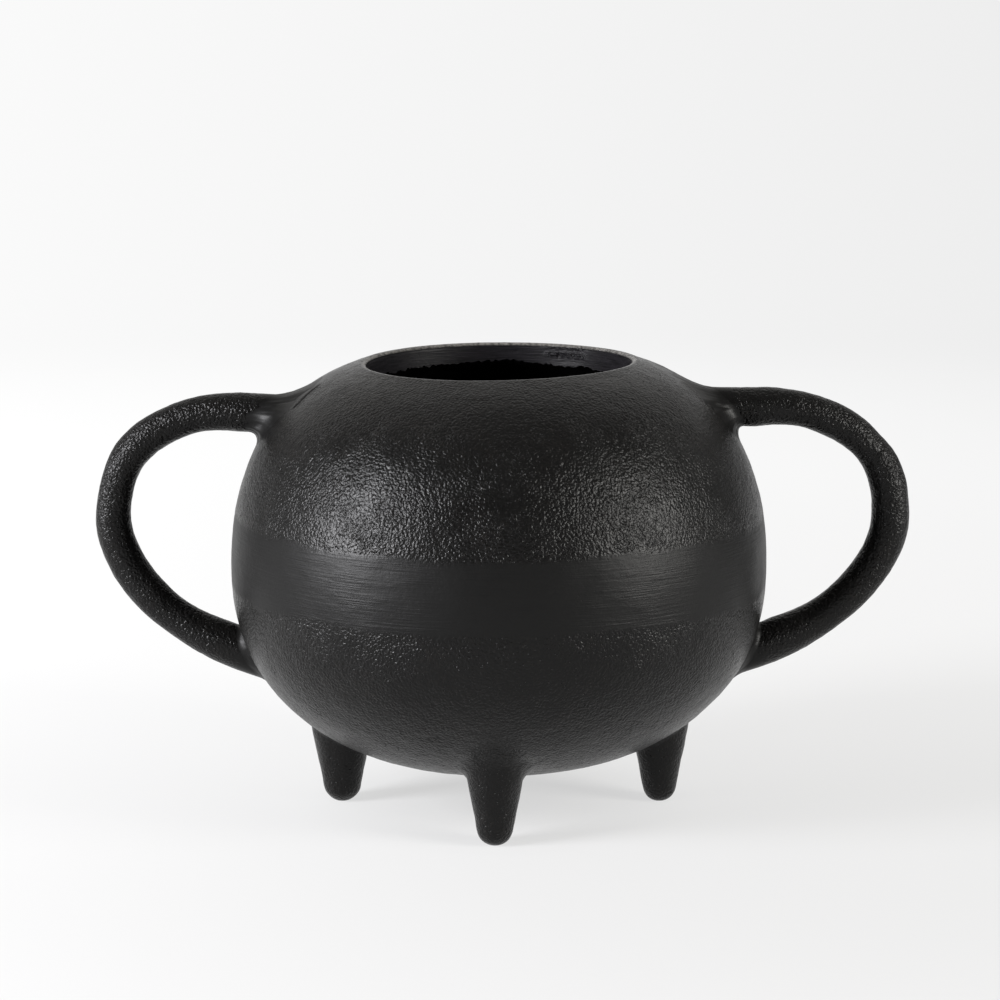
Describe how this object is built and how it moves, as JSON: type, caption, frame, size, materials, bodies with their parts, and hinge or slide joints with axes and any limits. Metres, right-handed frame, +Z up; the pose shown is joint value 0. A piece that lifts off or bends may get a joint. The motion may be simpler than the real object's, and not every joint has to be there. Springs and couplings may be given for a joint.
{
  "type": "spherical vase",
  "caption": "Squat spherical cast-metal vase with a wide bored mouth, loop handles and short tapered peg feet, painted satin black.",
  "frame": {"origin": "on the floor, under the axis of the bowl", "axes": "+Z up along the axis of the bowl and its mouth, +X along the handles towards the right handle, -Y towards the front foot"},
  "size_m": [0.4043, 0.2662, 0.2232],
  "materials": {
    "cast_black": "sand-cast skin under satin black paint",
    "ground_black": "weld ground smooth under satin black paint"
  },
  "bodies": {
    "root": {"upper_shell": "cast_black", "lower_shell": "cast_black", "left_handle": "cast_black", "right_handle": "cast_black", "front_foot": "cast_black", "rear_foot": "cast_black", "left_foot": "cast_black", "right_foot": "cast_black", "equator_weld": "ground_black", "left_handle_upper_weld": "ground_black", "left_handle_lower_weld": "ground_black", "right_handle_upper_weld": "ground_black", "right_handle_lower_weld": "ground_black", "front_foot_weld": "ground_black", "rear_foot_weld": "ground_black", "left_foot_weld": "ground_black", "right_foot_weld": "ground_black"}
  },
  "joints": []
}
